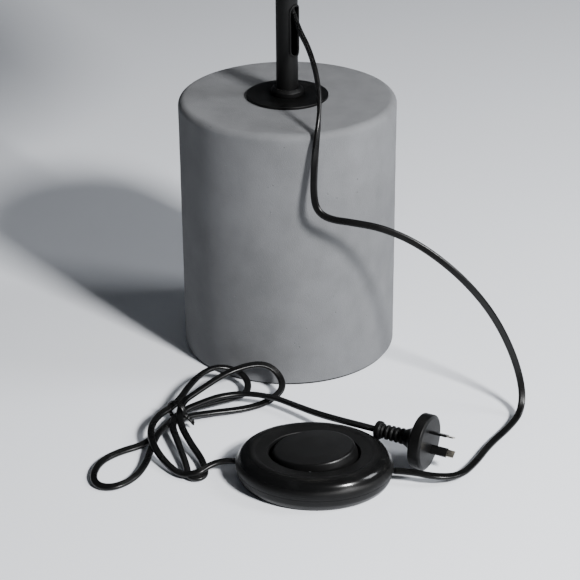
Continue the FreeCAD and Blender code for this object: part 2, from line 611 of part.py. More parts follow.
def make_switch_inside():
    floor_z = FOOT_T + SWITCH_FLOOR
    lead = Part.makeCylinder(FLEX_D / 2, ENTRY_X - LEAD_X, V(LEAD_X, 0, ENTRY_Z), V(1, 0, 0))
    save("switch_leads", *[on_switch(s) for s in pair(lead)])
    bar_z = ENTRY_Z + FLEX_D / 2
    bar = Part.makeBox(6, 2 * CLAMP_Y + 6, 2.4, V(CLAMP_X - 3, -CLAMP_Y - 3, bar_z))
    bar = bar.cut([rod(CLAMP_SCREW_D, bar_z - 1, bar_z + 5, (CLAMP_X, s * CLAMP_Y)) for s in (-1, 1)])
    save("flex_clamps", *[on_switch(s) for s in pair(bar)])
    screws = []
    for sx in (-1, 1):
        for sy in (-1, 1):
            at = (sx * CLAMP_X, sy * CLAMP_Y)
            screws.append(rod(CLAMP_SCREW_D, floor_z + 1.5, bar_z + 2.4, at).fuse(
                rod(4.4, bar_z + 2.4, bar_z + 4.0, at)))
    save("clamp_screws", *[on_switch(s) for s in screws])

    half = BRIDGE_W / 2
    cheek = Part.makeBox(5, 0.8, BRIDGE_PIN_Z + 2 - floor_z, V(-2.5, half + 0.6, floor_z))
    pin_l = 2 * half + 2.8
    foot = TERMINAL_X + TERMINAL_D / 2
    common = Part.makeBox(foot + 3, pin_l, 0.8, V(-foot, -pin_l / 2, floor_z))
    common = common.fuse(pair(cheek) + [rod(TERMINAL_D, floor_z, TERMINAL_TOP, (-TERMINAL_X, 0))])
    pin = Part.makeCylinder(BRIDGE_PIN_D / 2, pin_l, V(0, -pin_l / 2, BRIDGE_PIN_Z), ACROSS)
    tap = [rod(TAP_D, floor_z + 2, TERMINAL_TOP + 1, (-TERMINAL_X, 0)), pin]
    save("common_terminal", on_switch(common.cut(tap)))
    save("bridge_pin", on_switch(pin))
    contact_x = BRIDGE_L / 2 - 0.7
    tilt = math.radians(BRIDGE_TILT)
    strip_low = BRIDGE_PIN_Z + BRIDGE_STEP * math.cos(tilt) - BRIDGE_L / 2 * math.sin(tilt)
    line = Part.makeBox(foot - contact_x + 2, 6, 1.2, V(contact_x - 2, -3, floor_z))
    line = line.fuse([rod(3.6, floor_z, strip_low - AIR, (contact_x, 0)),
                      rod(TERMINAL_D, floor_z, TERMINAL_TOP, (TERMINAL_X, 0))])
    line = line.cut(rod(TAP_D, floor_z + 2, TERMINAL_TOP + 1, (TERMINAL_X, 0)))
    save("line_terminal", on_switch(line))
    link = Part.makeBox(2 * LINK_X + 7, 6, TERMINAL_TOP - floor_z - 1, V(-LINK_X - 3.5, LINK_Y - 3, floor_z))
    link = link.cut([rod(TAP_D, floor_z + 2, TERMINAL_TOP, (s * LINK_X, LINK_Y)) for s in (-1, 1)])
    save("neutral_link", on_switch(link))
    spots = [(TERMINAL_X, 0, TERMINAL_TOP), (-TERMINAL_X, 0, TERMINAL_TOP),
             (LINK_X, LINK_Y, TERMINAL_TOP - 1), (-LINK_X, LINK_Y, TERMINAL_TOP - 1)]
    heads = [rod(TAP_D, floor_z + 2.2, z, (x, y)).fuse(rod(4.6, z, z + 1.4, (x, y))) for x, y, z in spots]
    save("terminal_screws", *[on_switch(s) for s in heads])
    cores = []
    for s in (-1, 1):
        near = [(s * LEAD_X, s * -1.05, ENTRY_Z), (s * (LEAD_X - 5), s * -1.3, ENTRY_Z - 0.4),
                (s * (TERMINAL_X + 3.5), s * -0.6, TERMINAL_TOP - 1.6)]
        far = [(s * LEAD_X, s * 1.05, ENTRY_Z), (s * (LEAD_X - 4), 1.6 + s * 1.0, ENTRY_Z - 0.2),
               (s * (LEAD_X - 8), 7.0, TERMINAL_TOP - 1.2),
               (s * (LINK_X + 3.5), LINK_Y - 0.4, TERMINAL_TOP - 3)]
        cores += [flex_tube(near, "switch core", CORE_D - 0.1), flex_tube(far, "switch core", CORE_D - 0.1)]
    save("switch_cores", *[on_switch(c) for c in cores])

    knuckle = Part.makeCylinder(KNUCKLE_D / 2, BRIDGE_W, V(0, -half, BRIDGE_PIN_Z), ACROSS)
    web = Part.makeBox(2.4, BRIDGE_W, BRIDGE_STEP + 0.2, V(-1.2, -half, BRIDGE_PIN_Z))
    strip = Part.makeBox(BRIDGE_L, BRIDGE_W, BRIDGE_T, V(-BRIDGE_L / 2, -half, BRIDGE_PIN_Z + BRIDGE_STEP))
    hole = Part.makeCylinder(BRIDGE_PIN_D / 2 + RUN, BRIDGE_W + 2, V(0, -half - 1, BRIDGE_PIN_Z), ACROSS)
    bridge = knuckle.fuse([web, strip]).cut(hole).removeSplitter()
    save("contact_bridge", on_switch(tilted(bridge, BRIDGE_PIN_Z, BRIDGE_TILT)))


def make_rocker():
    half_x, half_y = WELL_A - WELL_GAP, WELL_B - WELL_GAP
    block = oval(half_x, half_y, ROCKER_FOOT, ROCKER_TOP)
    rim = [e for e in block.Edges if e.CenterOfMass.z > ROCKER_TOP - 0.01 and e.BoundBox.ZLength < 0.01]
    block = block.makeFillet(ROCKER_EDGE_R, rim)
    ceiling = ROCKER_TOP - ROCKER_WALL - 0.4
    hollow = oval(half_x - ROCKER_WALL, half_y - ROCKER_WALL, ROCKER_FOOT - 1, ceiling)
    boss = rod(PLUNGER_D + 3, ROCKER_FOOT - 2, ceiling)
    bore = rod(PLUNGER_D + 2 * RUN, ROCKER_FOOT - 3, ceiling)
    hinge = Part.makeCylinder(STUB_D / 2 + RUN, 2 * half_y + 2, V(0, -half_y - 1, PIVOT_Z), ACROSS)
    inside_y = half_y - ROCKER_WALL - 1
    hinge = hinge.cut(Part.makeBox(8, 2 * inside_y, 8, V(-4, -inside_y, PIVOT_Z - 4)))
    rocker = block.cut(hollow).fuse(boss).cut(bore).cut(hinge)
    save("rocker", on_switch(tilted(rocker, PIVOT_Z, -ROCKER_TILT)))
    stub = Part.makeCylinder(STUB_D / 2, WELL_WALL + WELL_GAP + ROCKER_WALL,
                             V(0, WELL_B - WELL_GAP - ROCKER_WALL, PIVOT_Z), ACROSS)
    save("rocker_stubs", *[on_switch(s) for s in pair(stub)])
    tip_z = BRIDGE_PIN_Z + BRIDGE_STEP + BRIDGE_T + AIR
    end = PLUNGER_D / 2
    top = ceiling - SPRING_H
    plunger = revolved([(0, tip_z, 0), (end, tip_z, 1.6), (end, top, 0), (0, top, 0)])
    save("plunger", on_switch(tilted(plunger, PIVOT_Z, -ROCKER_TILT)))
    coil_r = PLUNGER_D / 2 - SPRING_WIRE / 2 - RUN
    low = top + SPRING_WIRE / 2 + RUN
    rise = (SPRING_H - SPRING_WIRE - 2 * RUN) / (SPRING_TURNS * SPRING_STEPS)
    turns = [math.radians(360 / SPRING_STEPS * i) for i in range(SPRING_TURNS * SPRING_STEPS + 1)]
    coil = [(coil_r * math.cos(t), coil_r * math.sin(t), low + rise * i) for i, t in enumerate(turns)]
    spring = flex_tube(coil, "plunger spring", SPRING_WIRE)
    save("plunger_spring", on_switch(tilted(spring, PIVOT_Z, -ROCKER_TILT)))


# ---------------------------------------------------------------- plug
def along_x(shape):
    """Turn a shape built about Z so that its axis lies along X."""
    copy = shape.copy()
    copy.rotate(V(), ACROSS, 90)
    return copy


def pin_bar(side, width, thick, near, far):
    """Flat bar of the upper or lower pin, from x = near to x = far, turned by the pin's lean."""
    roll = math.radians(PIN_ROLL)
    bar = Part.makeBox(far - near, width, thick, V(near, -width / 2, -thick / 2))
    bar.rotate(V(), V(1, 0, 0), PIN_ROLL - 90 - side * PIN_LEAN)
    bar.translate(V(0, PIN_OFFSET[0] + side * PIN_SPREAD / 2 * math.cos(roll),
                    PIN_OFFSET[1] + side * PIN_SPREAD / 2 * math.sin(roll)))
    return bar


def make_plug():
    radius, flare, neck = PLUG_D / 2, FLARE_D / 2, NECK_D / 2
    neck_x = -PLUG_T - FLARE_L
    body = revolved([(0, neck_x, 0), (neck, neck_x, 0), (neck + 2.2, neck_x + 3, 5), (flare, -PLUG_T, 0),
                     (radius, -PLUG_T, PLUG_EDGE_R), (radius, 0, PLUG_EDGE_R), (0, 0, 0)])
    core_w, core_t = PIN_W - 2 * SLEEVE_T, PIN_T - SLEEVE_T
    pins, sleeves, holes = [], [], []
    for side in (-1, 1):
        pins.append(pin_bar(side, core_w, core_t, -PIN_ROOT, PIN_L))
        sleeve = pin_bar(side, PIN_W, PIN_T, 0, SLEEVE_L)
        sleeves.append(sleeve.cut(pin_bar(side, core_w, core_t, -1, PIN_L)))
        holes.append(pin_bar(side, core_w, core_t, -PIN_ROOT, 0))
    save("plug_body", on_plug(along_x(body).cut(holes)))
    save("plug_pins", *[on_plug(p) for p in pins])
    save("pin_sleeves", *[on_plug(s) for s in sleeves])
    boot = rod(NECK_D - 1.6, neck_x - NECK_L, neck_x)
    gap = NECK_L / RIBS
    ribs = [rod(NECK_D, neck_x - NECK_L + gap * (i + 0.5) - RIB_T / 2,
                neck_x - NECK_L + gap * (i + 0.5) + RIB_T / 2) for i in range(RIBS)]
    ring_low = neck_x - NECK_L - BOOT_L
    ring = revolved([(0, ring_low, 0), (BOOT_D / 2, ring_low, 1.6), (BOOT_D / 2, ring_low + BOOT_L, 1.6),
                     (0, ring_low + BOOT_L, 0)])
    save("plug_boot", on_plug(along_x(boot.fuse(ribs + [ring]))))


# ---------------------------------------------------------------- hank
def outline(points, low, high):
    """Prism over an outline of (x, y, rounding) corners."""
    flat = rounded_profile(points)
    flat.rotate(V(), V(1, 0, 0), -90)
    flat.translate(V(0, 0, low))
    return Part.Face(flat).extrude(V(0, 0, high - low))


def make_hank():
    left = outline(LEFT_LOBE, LOBE_LIFT, LOBE_LIFT + LOBE_T)
    right = outline(RIGHT_LOBE, LOBE_LIFT, LOBE_LIFT + LOBE_T)
    hinge = V(RIGHT_LOBE[1][0], RIGHT_LOBE[1][1], LOBE_LIFT)
    way = math.radians(RIGHT_HEADING)
    right.rotate(hinge, V(math.cos(way), math.sin(way), 0), RIGHT_LEAN)
    right.translate(V(0, 0, LOBE_LIFT - right.optimalBoundingBox().ZMin))
    middle = V(0, 0, WAIST_Z)
    edge = Part.Ellipse(middle, WAIST_W / 2, WAIST_H / 2).toShape()
    waist = Part.Face(Part.Wire([edge])).extrude(V(0, 0, 2 * WAIST_L))
    waist.translate(V(0, 0, -WAIST_L))
    waist.rotate(middle, V(1, 0, 0), 90)
    waist = moved(waist, TIE_AT[0], TIE_AT[1], 0, TIE_HEADING - 90)
    hank = waist.fuse([left, right])
    save("hank", hank)
    bands = []
    for grow in (TIE_T, FIT):
        edge = Part.Ellipse(middle, WAIST_W / 2 + grow, WAIST_H / 2 + grow).toShape()
        band = Part.Face(Part.Wire([edge])).extrude(V(0, 0, TIE_W))
        band.translate(V(0, 0, -TIE_W / 2))
        band.rotate(middle, V(1, 0, 0), 90)
        bands.append(band)
    tie = moved(bands[0].cut(bands[1]), TIE_AT[0], TIE_AT[1], 0, TIE_HEADING - 90)
    save("hank_tie", tie.cut(hank))


make_base()
make_pole()
make_flexes()
make_holder()
make_bulb()
make_shade()
make_switch_shells()
make_switch_inside()
make_rocker()
make_plug()
make_hank()
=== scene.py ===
# %% [markdown]
# # A concrete-based lamp, piece by piece
# The mechanical model of the lamp is already finished. This lesson dresses it: every surface that the eye
# sees gets its real shape where the mechanical model is plain, and a finish made of shader nodes.
# The first cell loads the mechanical model as a fixed frame. The frame is in metres; routes and outlines
# are written in millimetres here and multiplied by MM.

# %% Load the frame
import json
import math
import bpy
import numpy as np
from mathutils import Matrix, Vector


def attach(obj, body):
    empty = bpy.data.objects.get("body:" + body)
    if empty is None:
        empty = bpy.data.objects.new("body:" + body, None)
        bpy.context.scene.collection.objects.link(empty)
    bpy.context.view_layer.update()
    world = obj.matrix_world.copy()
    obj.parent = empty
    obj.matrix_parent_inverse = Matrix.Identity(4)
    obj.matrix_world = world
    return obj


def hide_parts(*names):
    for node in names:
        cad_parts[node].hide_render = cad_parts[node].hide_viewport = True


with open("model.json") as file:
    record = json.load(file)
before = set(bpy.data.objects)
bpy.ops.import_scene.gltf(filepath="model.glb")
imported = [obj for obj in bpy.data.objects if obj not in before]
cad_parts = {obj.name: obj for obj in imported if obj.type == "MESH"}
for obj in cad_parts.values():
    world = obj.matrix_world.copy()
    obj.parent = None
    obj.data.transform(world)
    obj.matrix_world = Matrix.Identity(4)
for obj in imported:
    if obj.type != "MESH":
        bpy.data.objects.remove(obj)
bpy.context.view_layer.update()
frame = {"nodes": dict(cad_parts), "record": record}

MM = 0.001
TURN = 2 * math.pi

# %% [markdown]
# ## Camera
# A long lens far away keeps the cylinder's sides nearly parallel. The camera stands 1.28 m in front of the
# pole and 0.67 m up, looks down by 26 degrees and leans by half a degree, so it is made by two turns:
# the tilt about the X axis, and the small lean about its own line of sight.

# %% Camera
IMAGE_SIDE = 580
FOCAL_IN_IMAGE = 1864.1
CAMERA_AT = (0.00083, -1.28368, 0.66904)
LOOKS_DOWN, LEANS = 26.138, 0.447           # degrees
lens = bpy.data.cameras.new("camera")
lens.sensor_width = 36.0
lens.lens = FOCAL_IN_IMAGE / IMAGE_SIDE * lens.sensor_width
camera = bpy.data.objects.new("camera", lens)
bpy.context.scene.collection.objects.link(camera)
camera.matrix_world = (Matrix.Translation(CAMERA_AT)
                       @ Matrix.Rotation(math.radians(90 - LOOKS_DOWN), 4, "X")
                       @ Matrix.Rotation(math.radians(-LEANS), 4, "Z"))
bpy.context.scene.camera = camera
print("camera lens", round(lens.lens, 1), "mm")

# %% [markdown]
# ## Meshes from grids
# Every new surface is a grid of points: rows along one parameter and columns along the other. One helper
# names the four corners of every face from whole index arrays, and a second turns points and faces into a
# piece. The faces' signed volume tells whether they look outwards; if it is negative, the corners' order is
# turned round.

# %% Grid and piece helpers
def grid_faces(rows, columns, ring_rows=False, ring_columns=True):
    """Corners of the faces between neighbours: (i, j), (i, j+1), (i+1, j+1), (i+1, j). A ring closes on
    itself, so its last index is followed by 0. Also gives each corner's (column, row) before closing."""
    i, j = np.meshgrid(np.arange(rows if ring_rows else rows - 1),
                       np.arange(columns if ring_columns else columns - 1), indexing="ij")
    corner_i = np.stack([i, i, i + 1, i + 1], -1).reshape(-1, 4)
    corner_j = np.stack([j, j + 1, j + 1, j], -1).reshape(-1, 4)
    return corner_i % rows * columns + corner_j % columns, np.stack([corner_j, corner_i], -1)


def piece_from(name, points, faces, finish, uv=None, ends=()):
    """A smooth mesh piece. Each of the ends is (centre point, ring of indices) and is closed by a fan."""
    points = np.asarray(points, float).reshape(-1, 3)
    faces = faces.tolist()
    for centre, ring in ends:
        ring = np.asarray(ring)
        fan = np.stack([np.full(len(ring), len(points)), ring, np.roll(ring, -1)], -1)
        points = np.vstack([points, centre])
        faces += fan.tolist()
    mesh = bpy.data.meshes.new(name)
    mesh.from_pydata(points, [], faces)
    if uv is not None:
        layer = mesh.uv_layers.new(name="UVMap")
        layer.data.foreach_set("uv", np.asarray(uv, np.float32).ravel())
    mesh.shade_smooth()
    mesh.calc_loop_triangles()
    corners = np.empty(len(mesh.loop_triangles) * 3, np.int32)
    mesh.loop_triangles.foreach_get("vertices", corners)
    a, b, c = points[corners.reshape(-1, 3).T]
    if np.einsum("ij,ij->i", a, np.cross(b, c)).sum() < 0:
        mesh.flip_normals()
    mesh.materials.append(finish)
    piece = bpy.data.objects.new(name, mesh)
    bpy.context.scene.collection.objects.link(piece)
    return piece


def rounded(corners, steps=5):
    """Closed outline of (x, y, radius) corners, each swapped for an arc. With half-angle h between the two
    sides, the arc starts radius / tan h from the corner, and its centre is radius / sin h away from it."""
    spots = np.array([c[:2] for c in corners], float)
    outline = []
    for i, (x, y, radius) in enumerate(corners):
        here, before, after = spots[i], spots[i - 1], spots[(i + 1) % len(spots)]
        if radius == 0:
            outline.append(here[None])
            continue
        u, v = before - here, after - here
        u, v = u / np.linalg.norm(u), v / np.linalg.norm(v)
        half = math.acos(np.clip(u @ v, -1, 1)) / 2
        middle = here + (u + v) / np.linalg.norm(u + v) * radius / math.sin(half)
        start, end = here + u * radius / math.tan(half), here + v * radius / math.tan(half)
        first = math.atan2(*(start - middle)[::-1])
        swing = (math.atan2(*(end - middle)[::-1]) - first + math.pi) % TURN - math.pi
        angle = first + swing * np.linspace(0, 1, steps)
        outline.append(middle + radius * np.stack([np.cos(angle), np.sin(angle)], -1))
    return np.vstack(outline)

print("helpers ready")

# %% [markdown]
# ## Shader sums written as sums
# A node tree for a material is mostly arithmetic. This small class wraps one socket, so `0.4 + 0.2 * grain`
# adds the Math nodes by itself, and one method of the finish makes every other node.

# %% Finish helper
class Value:
    """A socket of a finish, with the arithmetic operators."""

    def __init__(self, finish, socket):
        self.finish, self.socket = finish, socket

    def sum_with(self, operation, first, second=None):
        values = [first] if second is None else [first, second]
        return self.finish.node("ShaderNodeMath", {"operation": operation}, dict(enumerate(values)))

    def __add__(self, other):
        return self.sum_with("ADD", self, other)

    def __sub__(self, other):
        return self.sum_with("SUBTRACT", self, other)

    def __rsub__(self, other):
        return self.sum_with("SUBTRACT", other, self)

    def __mul__(self, other):
        return self.sum_with("MULTIPLY", self, other)

    __radd__, __rmul__ = __add__, __mul__

    def sine(self):
        return self.sum_with("SINE", self)

    def step(self, low, high):
        """0 below low, 1 above high, and a smooth S between them."""
        return self.finish.node("ShaderNodeMapRange", {"interpolation_type": "SMOOTHSTEP"},
                                {"Value": self, "From Min": low, "From Max": high})


class Finish:
    """A Principled material whose varying sockets are fed by expressions."""

    def __init__(self, name, colour=(0.5, 0.5, 0.5), **fixed):
        self.material = bpy.data.materials.new(name)
        self.material.use_nodes = True
        self.tree = self.material.node_tree
        self.shader = self.tree.nodes["Principled BSDF"]
        self.shader.inputs["Base Color"].default_value = (*colour, 1)
        for socket, value in fixed.items():
            self.shader.inputs[socket.replace("_", " ").title().replace("Ior", "IOR")].default_value = value
        self.coords = self.node("ShaderNodeTexCoord", output="Object")

    def node(self, kind, settings=None, values=None, output=0):
        """A node of that type: first its settings, then the values or links of its sockets."""
        made = self.tree.nodes.new(kind)
        for setting, value in (settings or {}).items():
            setattr(made, setting, value)
        for socket, value in (values or {}).items():
            if isinstance(value, Value):
                self.tree.links.new(value.socket, made.inputs[socket])
            else:
                made.inputs[socket].default_value = value
        return Value(self, made.outputs[output])

    def noise(self, scale, detail=3.0, roughness=0.55, stretch=(1, 1, 1), coords=None):
        """Soft noise around 0.5, with about `scale` blotches to the metre."""
        place = self.node("ShaderNodeMapping", {}, {"Vector": coords or self.coords, "Scale": stretch})
        return self.node("ShaderNodeTexNoise", {}, {"Vector": place, "Scale": scale, "Detail": detail,
                                                    "Roughness": roughness})

    def specks(self, scale, radius):
        """1 in the middle of scattered dots and 0 outside them."""
        gap = self.node("ShaderNodeTexVoronoi", {"feature": "F1"}, {"Vector": self.coords, "Scale": scale})
        return 1 - gap.step(radius * 0.4, radius)

    def mix(self, share, first, second):
        """A colour between two colours."""
        values = {0: share, 6: first, 7: second}
        values = {k: (*v, 1) if isinstance(v, tuple) else v for k, v in values.items()}
        return self.node("ShaderNodeMix", {"data_type": "RGBA"}, values, output=2)

    def feed(self, socket, value):
        self.tree.links.new(value.socket, self.shader.inputs[socket])

    def bump(self, height, depth):
        """Raises the surface by up to depth metres where height is 1."""
        self.feed("Normal", self.node("ShaderNodeBump", {}, {"Height": height, "Distance": depth}))


FINISHES = {}


def grey(level, warmth=0.0):
    return (level * (1 + warmth), level, level * (1 - warmth))

print("finish helper ready")

# %% [markdown]
# ## Concrete
# The base is cast in a smooth mould, so it has no stones in view: only soft cloudy blotches where the paste
# dried unevenly, a fine sandy grain, and scattered pinholes where air bubbles met the mould. Four noises
# of different size make the colour, and the same grain and pinholes make the bump, so that both agree.
# The pinholes are also painted nearly black, which is painted shade inside them.

# %% Concrete finish
concrete = Finish("cast_concrete", roughness=0.82, specular_ior_level=0.35)
clouds = concrete.noise(14, detail=5, roughness=0.6)
blotches = concrete.noise(55, detail=4, roughness=0.65)
sand = concrete.noise(1400, detail=2)
streaks = concrete.noise(30, detail=3, stretch=(1, 1, 0.18))
pinholes_and_their_shade = concrete.specks(150, 0.10) * concrete.noise(60).step(0.52, 0.6)
tone = (0.50 * clouds + 0.25 * blotches + 0.15 * streaks + 0.10 * sand).step(0.32, 0.68)
paste = concrete.mix(tone, (0.092, 0.094, 0.098), (0.128, 0.131, 0.137))
# The pinholes are painted nearly black: painted shade inside them, on top of the real dip in the bump.
concrete.feed("Base Color", concrete.mix(0.55 * pinholes_and_their_shade, paste, (0.05, 0.05, 0.05)))
concrete.feed("Roughness", 0.72 + 0.2 * blotches)
concrete.bump(0.6 * sand + 0.5 * blotches - 0.9 * pinholes_and_their_shade, 0.00035)
FINISHES["concrete"] = concrete.material
print("concrete nodes", len(concrete.tree.nodes))

# %% [markdown]
# ## Black coatings and plastics
# Several black things stand side by side here, and only their gloss tells them apart: the steel's powder
# coat is satin with a fine orange peel, the flex is soft and a little waxy, the switch's rim is polished
# while its dish is satin, and the plug is plain moulding. Each gets its own roughness, grain and dust.

# %% Black finishes
def black_finish(slot, level, rough, grain_scale, grain_depth, spread=0.08, dust=0.012, **fixed):
    """A black surface: its colour rises from `level` by `dust` in patches, its roughness varies by `spread`
    about `rough`, and its grain has `grain_scale` grains to the metre, `grain_depth` metres deep."""
    finish = Finish(slot, **fixed)
    patches = finish.noise(70, detail=4)
    grain = finish.noise(grain_scale, detail=2)
    finish.feed("Base Color", finish.mix(patches.step(0.4, 0.75), grey(level), grey(level + dust)))
    finish.feed("Roughness", rough - spread / 2 + spread * patches)
    finish.bump(grain, grain_depth)
    FINISHES[slot] = finish.material

black_finish("black_steel", 0.0022, 0.42, 1600, 0.00005, dust=0.002, specular_ior_level=0.14)
black_finish("black_pvc", 0.0022, 0.28, 900, 0.00005, dust=0.002, specular_ior_level=0.24)
black_finish("black_moulding", 0.0024, 0.42, 1500, 0.00006, dust=0.002, specular_ior_level=0.14)
black_finish("pad_foam", 0.0060, 0.95, 1100, 0.00040, spread=0.04, dust=0.004, specular_ior_level=0.2)
black_finish("pad_rubber", 0.020, 0.80, 800, 0.00010)
black_finish("rocker_black", 0.0030, 0.32, 2200, 0.00004, dust=0.002, specular_ior_level=0.20)
print("black finishes", len(FINISHES))

# %% [markdown]
# ## Switch shell finish
# The rim of the foot switch is polished by the mould, while the dish inside it and the wall below it are
# sandblasted. All are one plastic, so one finish covers them: the distance from the switch's centre,
# measured along its ellipse, tells the shader where the polish starts and ends.

# %% Switch shell finish
SWITCH_AT = np.array([16.3, -208.0, 0.0]) * MM
SWITCH_TURN = math.radians(-7.5)
SWITCH_A, SWITCH_B = 53.5 * MM, 45.0 * MM

shell_finish = Finish("switch_shell_plastic", specular_ior_level=0.15, coat_roughness=0.08)
place = shell_finish.node("ShaderNodeMapping", {"vector_type": "TEXTURE"}, {
    "Vector": shell_finish.coords, "Location": SWITCH_AT.tolist(), "Rotation": (0, 0, SWITCH_TURN),
    "Scale": (SWITCH_A, SWITCH_B, 1)})
flat_place = shell_finish.node("ShaderNodeVectorMath", {"operation": "MULTIPLY"},
                               {0: place, 1: (1, 1, 0)})
reach = shell_finish.node("ShaderNodeVectorMath", {"operation": "LENGTH"}, {0: flat_place}, output="Value")
polish = reach.step(0.80, 0.86) * (1 - reach.step(0.955, 0.99))
blast = shell_finish.noise(2600, detail=2)
scuffs = shell_finish.noise(90, detail=5)
shell_finish.feed("Roughness", 0.42 - 0.24 * polish + 0.08 * scuffs)
shell_finish.feed("Base Color", shell_finish.mix(scuffs.step(0.45, 0.8), grey(0.003), grey(0.006)))
shell_finish.feed("Coat Weight", 0.30 * polish)
shell_finish.bump(blast * (1 - polish), 0.00010)
FINISHES["black_shell"] = shell_finish.material
print("switch shell finish ready")

# %% [markdown]
# ## Metals and white parts
# Plated and bare metals differ by colour and by how fine their brushing is. The white parts are the bulb,
# the holder's ceramic block and the shade's wire. Each has a little unevenness, so that none is a flat
# colour.

# %% Metal finishes
def metal_finish(slot, colour, rough, scale, stretch=(1, 1, 1)):
    """Bare metal: a brushed noise varies its roughness and leaves a very fine bump."""
    finish = Finish(slot, colour, metallic=1.0)
    brush = finish.noise(scale, detail=3, stretch=stretch)
    darker = tuple(0.75 * c for c in colour)
    finish.feed("Base Color", finish.mix(brush.step(0.3, 0.7), darker, colour))
    finish.feed("Roughness", rough + 0.22 * (brush - 0.5))
    finish.bump(brush, 0.00002)
    FINISHES[slot] = finish.material

metal_finish("plain_steel", (0.58, 0.58, 0.60), 0.38, 500)
metal_finish("contact_brass", (0.72, 0.52, 0.24), 0.30, 600)
metal_finish("pin_brass", (0.62, 0.58, 0.50), 0.30, 900, (1, 1, 0.2))
metal_finish("cap_nickel", (0.70, 0.69, 0.66), 0.22, 700, (1, 1, 0.2))
metal_finish("board_white", (0.80, 0.80, 0.80), 0.45, 500)

# %% White and coloured finishes
def plain_finish(slot, colour, rough, scale, depth, **fixed):
    """Moulded or fired surface: patches darken the colour by up to 12 % and vary the roughness too."""
    finish = Finish(slot, colour, **fixed)
    patches = finish.noise(scale, detail=4)
    darker = tuple(0.88 * c for c in colour[:3])
    finish.feed("Base Color", finish.mix(patches.step(0.35, 0.7), darker, colour))
    finish.feed("Roughness", rough + 0.15 * (patches - 0.5))
    finish.bump(patches, depth)
    FINISHES[slot] = finish.material

plain_finish("white_ceramic", (0.78, 0.76, 0.71), 0.60, 400, 0.00008)
plain_finish("bulb_white", (0.83, 0.83, 0.81), 0.42, 120, 0.00003)
plain_finish("bulb_opal", (0.90, 0.89, 0.84), 0.30, 60, 0.00001, coat_weight=0.3, coat_roughness=0.1,
             subsurface_weight=0.25)
plain_finish("shade_wire", (0.76, 0.75, 0.72), 0.38, 220, 0.00004)
plain_finish("core_brown", (0.16, 0.07, 0.03), 0.42, 300, 0.00003)
print("finishes", sorted(FINISHES))

# %% [markdown]
# ## Linen
# The shade is linen glued on a stiff white liner. A plain weave is two sets of threads that take turns on
# top, so its height is the product of two sines. The same height also darkens the colour where a thread
# dips under, which is painted shade between the threads. Linen yarn has thick and thin places, called slubs,
# which are noise stretched far along each thread. The pattern follows the shade's own UV map, in metres round
# and up the wall, so that the weave isn't distorted by the cone.

# %% Linen finish
THREAD = 0.55 * MM
linen = Finish("shade_linen", roughness=0.9, specular_ior_level=0.2, sheen_weight=0.15)
cloth = linen.node("ShaderNodeUVMap", {"uv_map": "UVMap"})
across, up = (linen.node("ShaderNodeSeparateXYZ", {}, {"Vector": cloth}, output=axis) for axis in "XY")
weave_relief_and_shade = 0.5 + 0.5 * ((across * (TURN / 2 / THREAD)).sine() * (up * (TURN / 2 / THREAD)).sine())
slub_round = linen.noise(1, detail=3, stretch=(30, 1500, 1), coords=cloth)
slub_up = linen.noise(1, detail=3, stretch=(1500, 30, 1), coords=cloth)
slubs = (0.5 * (slub_round + slub_up)).step(0.40, 0.66)
# The slubs are the yarn's own tone; the weave's low places are darker, which is painted shade between
# threads.
linen.feed("Base Color", linen.mix(0.55 * slubs + 0.3 * weave_relief_and_shade, (0.50, 0.46, 0.39), (0.74, 0.70, 0.62)))
linen.bump(0.6 * weave_relief_and_shade + 0.7 * slubs, 0.00030)
FINISHES["shade_cloth"] = linen.material

for part in frame["record"]["subparts"]:
    for holder in frame["nodes"][part["node"]].material_slots:
        holder.material = FINISHES[part["material_slot"]]

# %% [markdown]
# ## Flat twin flex as a smooth spline
# The flex is one spline through space. Its control points are the route's points, and a NURBS spline of
# order 3 runs smoothly past them and stays inside their corners. The spline is then read back as a fine
# row of points, because the flex isn't round: a flat section has to be turned the right way all along it.

# %% Route to path
def smooth_path(name, route, fineness=14):
    """Fine points of a NURBS spline whose control points are the route's points."""
    line = bpy.data.curves.new(name + "_route", "CURVE")
    line.dimensions = "3D"
    line.resolution_u = fineness
    spline = line.splines.new("NURBS")
    spline.points.add(len(route) - 1)
    spline.points.foreach_set("co", np.column_stack([route, np.ones(len(route))]).ravel())
    spline.order_u = 3
    spline.use_endpoint_u = True
    holder = bpy.data.objects.new(name + "_route", line)
    mesh = bpy.data.meshes.new_from_object(holder)
    path = np.empty(len(mesh.vertices) * 3)
    mesh.vertices.foreach_get("co", path)
    bpy.data.objects.remove(holder)
    bpy.data.curves.remove(line)
    bpy.data.meshes.remove(mesh)
    return path.reshape(-1, 3)


def length_of(path):
    return float(np.linalg.norm(np.diff(path, axis=0), axis=1).sum())


def along_route(path, values):
    """Values given at the control points, spread over the path. A clamped spline of order 3 passes
    control point k at the parameter k - 1/2, and the first and last points at its two ends."""
    places = np.clip(np.arange(len(values)) - 0.5, 0, len(values) - 2)
    here = np.linspace(0, len(values) - 2, len(path))
    return np.stack([np.interp(here, places, column) for column in np.asarray(values, float).T], -1)


def frames_along(path, facing):
    """T is the direction between a point's neighbours, N is the facing direction without its part along
    T, made of length one, and W = T x N is the flex's wide direction."""
    tangent = np.gradient(path, axis=0)
    tangent /= np.linalg.norm(tangent, axis=1, keepdims=True)
    normal = facing - (facing * tangent).sum(1, keepdims=True) * tangent
    normal /= np.linalg.norm(normal, axis=1, keepdims=True)
    return tangent, normal, np.cross(tangent, normal)


def swept(name, path, facing, section, finish):
    """A section of (wide, thin) points carried along a path: P + w W + n N, closed at both ends."""
    _, normal, wide = frames_along(path, facing)
    points = (path[:, None] + section[None, :, :1] * wide[:, None] + section[None, :, 1:] * normal[:, None])
    faces, _ = grid_faces(len(path), len(section))
    count = points.shape[0] * points.shape[1]
    ends = ((path[0], np.arange(len(section))[::-1]), (path[-1], np.arange(count - len(section), count)))
    return piece_from(name, points, faces, finish, ends=ends)


